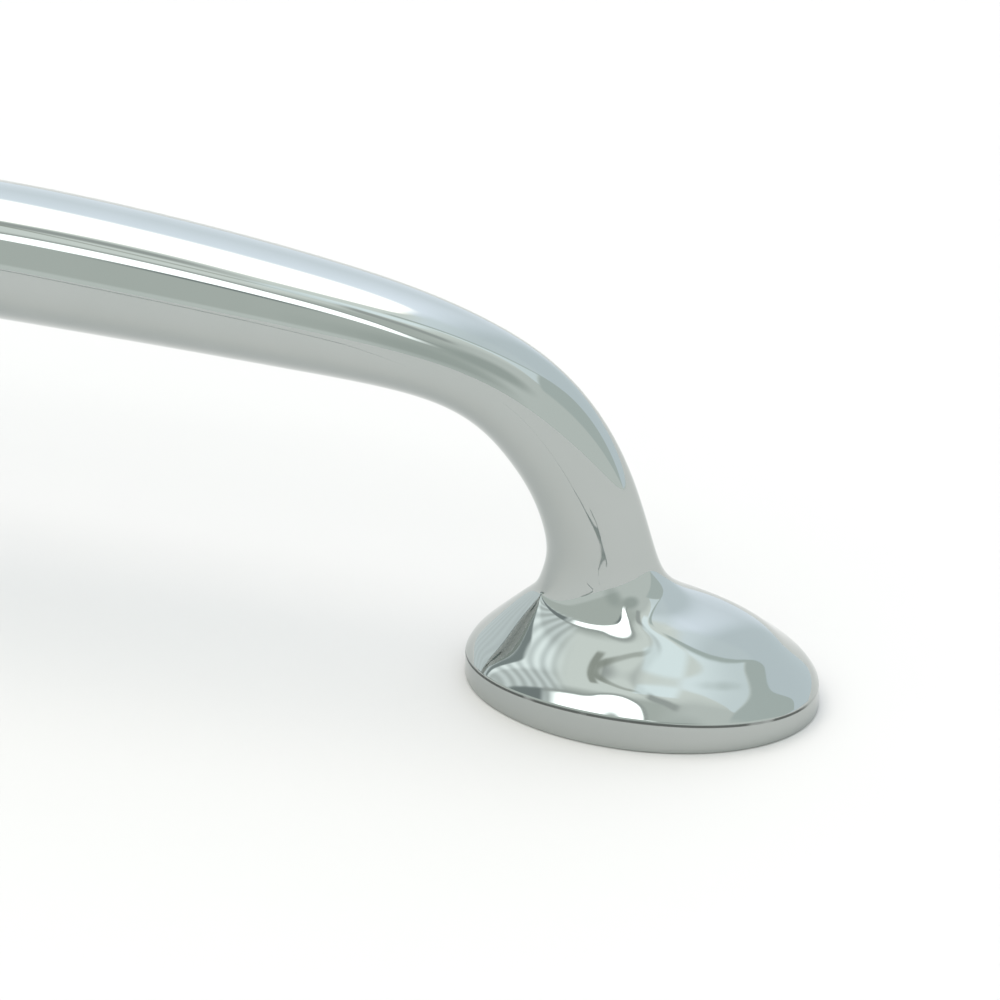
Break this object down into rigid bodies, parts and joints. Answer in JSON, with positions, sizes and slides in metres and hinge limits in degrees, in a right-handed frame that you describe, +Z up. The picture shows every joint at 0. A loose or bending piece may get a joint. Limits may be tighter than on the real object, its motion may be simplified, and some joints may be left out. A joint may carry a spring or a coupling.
{
  "type": "grab rail",
  "caption": "Bow-shaped hand grab rail on two oval domed feet, with studs, pads, washers and nuts that fix it to a deck from behind.",
  "frame": {"origin": "on the face of the deck, midway between the two studs", "axes": "+X along the rail towards the right foot, +Y across it, +Z up from the deck to the grip"},
  "size_m": [0.2512, 0.0346, 0.1084],
  "materials": {
    "chrome_casting": "mirror-polished plating",
    "stud_steel": "bright stainless",
    "fastener_steel": "bright stainless",
    "spring_steel": "dull stainless",
    "pad_rubber": "matt"
  },
  "bodies": {
    "root": {"rail": "chrome_casting", "left_stud": "stud_steel", "left_pad": "pad_rubber", "left_penny_washer": "fastener_steel", "left_spring_washer": "spring_steel", "left_nut": "fastener_steel", "right_stud": "stud_steel", "right_pad": "pad_rubber", "right_penny_washer": "fastener_steel", "right_spring_washer": "spring_steel", "right_nut": "fastener_steel"}
  },
  "joints": []
}
